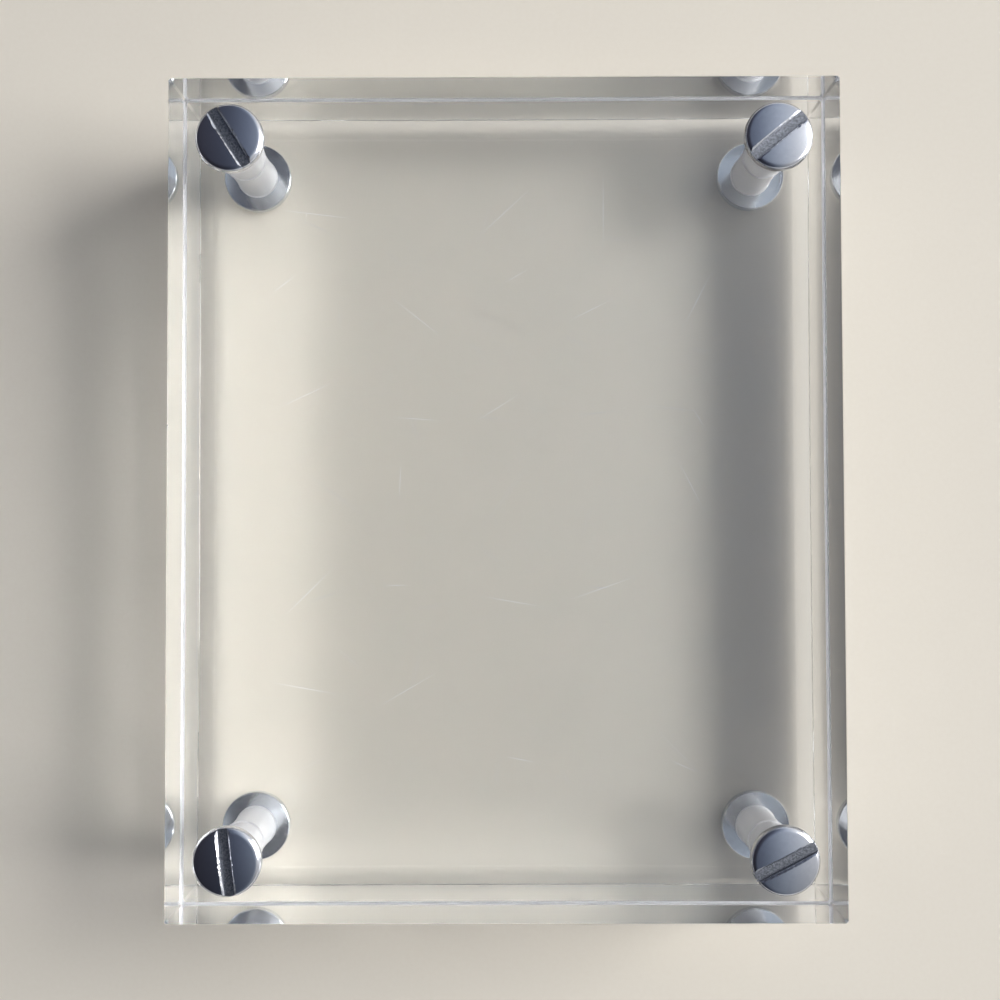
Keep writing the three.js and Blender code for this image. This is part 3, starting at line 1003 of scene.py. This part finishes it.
class CARDHOLDER_OT_slotted_screws(bpy.types.Operator):
    """Makes the four screws with their domed, slotted heads and their threads"""

    bl_idname = "card_holder.slotted_screws"
    bl_label = "Slotted Screws"

    def execute(self, context):
        settings = context.scene.card_holder_screws
        post = context.scene.card_holder_posts
        polished = turned_aluminium(
            "aluminium_turned_polished", settings.polished_colour, hex_colour("#C6C9D2"),
            roughness=0.2, ring_width=0.12 * MM, ring_depth=0.004 * MM)
        milled = milled_aluminium(settings)
        lathe = lathe_tree()
        mill = slot_tree()
        stretches = screw_outline(settings)
        turning = {**thread_inputs(settings, post), "Metal": polished}
        cutter_overrun = 0.6 * MM
        milling = {
            "Head Top": head_top(settings), "Dome Radius": dome_radius(settings),
            "Length": settings.head_diameter + cutter_overrun, "Width": settings.slot_width,
            "Depth": settings.slot_depth, "Edge Break": settings.slot_break, "Burr": settings.slot_burr,
            "Nick": settings.slot_nick, "Burr Length": settings.burr_length, "Metal": polished,
            "Slot Metal": milled,
        }
        # Seeds are far enough apart for each slot to have burrs of its own
        seed_step = 10.0
        for number, corner in enumerate(SLOT_TURNS):
            outline = outline_mesh(f"screw_{corner}_outline", stretches)
            piece = new_object(f"slotted_screw_{corner}", outline)
            add_tree(piece, lathe, turning)
            add_tree(piece, mill, {**milling, "Seed": seed_step * number})
            make_plain(piece)
            place_turned(piece, corner)
            dress(piece, f"screw_{corner}", f"screw_{corner}")
        return {"FINISHED"}


class CARDHOLDER_OT_flanged_posts(bpy.types.Operator):
    """Makes the four posts with their flanges, barrels and tapped holes"""

    bl_idname = "card_holder.flanged_posts"
    bl_label = "Flanged Posts"

    def execute(self, context):
        settings = context.scene.card_holder_posts
        screw = context.scene.card_holder_screws
        satin = turned_aluminium(
            "aluminium_turned_satin", settings.satin_colour, hex_colour("#D0D4DA"),
            roughness=0.18, ring_width=0.16 * MM, ring_depth=0.004 * MM)
        lathe = lathe_tree()
        stretches = post_outline(settings, screw)
        turning = {**thread_inputs(screw, settings, settings.tap_clearance), "Metal": satin}
        for corner in SLOT_TURNS:
            outline = outline_mesh(f"post_{corner}_outline", stretches)
            piece = new_object(f"flanged_post_{corner}", outline)
            add_tree(piece, lathe, turning)
            make_plain(piece)
            place_turned(piece, corner)
            dress(piece, "base", f"post_{corner}")
        return {"FINISHED"}


class CARDHOLDER_OT_photo_stage(bpy.types.Operator):
    """Makes the pale floor, the soft light from the right and the camera above the holder"""

    bl_idname = "card_holder.photo_stage"
    bl_label = "Photo Stage"

    def execute(self, context):
        settings = context.scene.card_holder_stage
        scene = context.scene
        scene.view_settings.view_transform = "Standard"
        # Light runs through many clear faces before it leaves a plate
        bounces = 32
        scene.cycles.max_bounces = bounces
        scene.cycles.glossy_bounces = bounces
        scene.cycles.transmission_bounces = bounces
        scene.cycles.blur_glossy = 0
        scene.cycles.sample_clamp_indirect = 40
        studio_floor(settings)
        soft_lamp(settings)
        studio_light()
        scene.camera = photo_camera(settings)
        return {"FINISHED"}


class CARDHOLDER_PT_pieces(bpy.types.Panel):
    """Lists the pieces of the card holder with their settings"""

    bl_idname = "CARDHOLDER_PT_pieces"
    bl_label = "Card Holder"
    bl_space_type = "VIEW_3D"
    bl_region_type = "UI"
    bl_category = "Card Holder"

    def draw(self, context):
        for operator, settings in OPERATORS.items():
            box = self.layout.box()
            box.operator(f"card_holder.{operator}")
            group = getattr(context.scene, settings)
            for name in type(group).__annotations__:
                box.prop(group, name)


SETTINGS = {
    "card_holder_plates": PlateSettings,
    "card_holder_screws": ScrewSettings,
    "card_holder_posts": PostSettings,
    "card_holder_stage": StageSettings,
}
OPERATORS = {
    "acrylic_plates": "card_holder_plates",
    "slotted_screws": "card_holder_screws",
    "flanged_posts": "card_holder_posts",
    "photo_stage": "card_holder_stage",
}
CLASSES = (
    *SETTINGS.values(),
    CARDHOLDER_OT_acrylic_plates,
    CARDHOLDER_OT_slotted_screws,
    CARDHOLDER_OT_flanged_posts,
    CARDHOLDER_OT_photo_stage,
    CARDHOLDER_PT_pieces,
)


def register():
    for cls in CLASSES:
        bpy.utils.register_class(cls)
    for name, group in SETTINGS.items():
        setattr(bpy.types.Scene, name, PointerProperty(type=group))


def unregister():
    for name in SETTINGS:
        delattr(bpy.types.Scene, name)
    for cls in reversed(CLASSES):
        bpy.utils.unregister_class(cls)


def main():
    """Registers the classes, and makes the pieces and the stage."""
    register()
    for operator in OPERATORS:
        getattr(bpy.ops.card_holder, operator)()


if __name__ == "__main__":
    main()
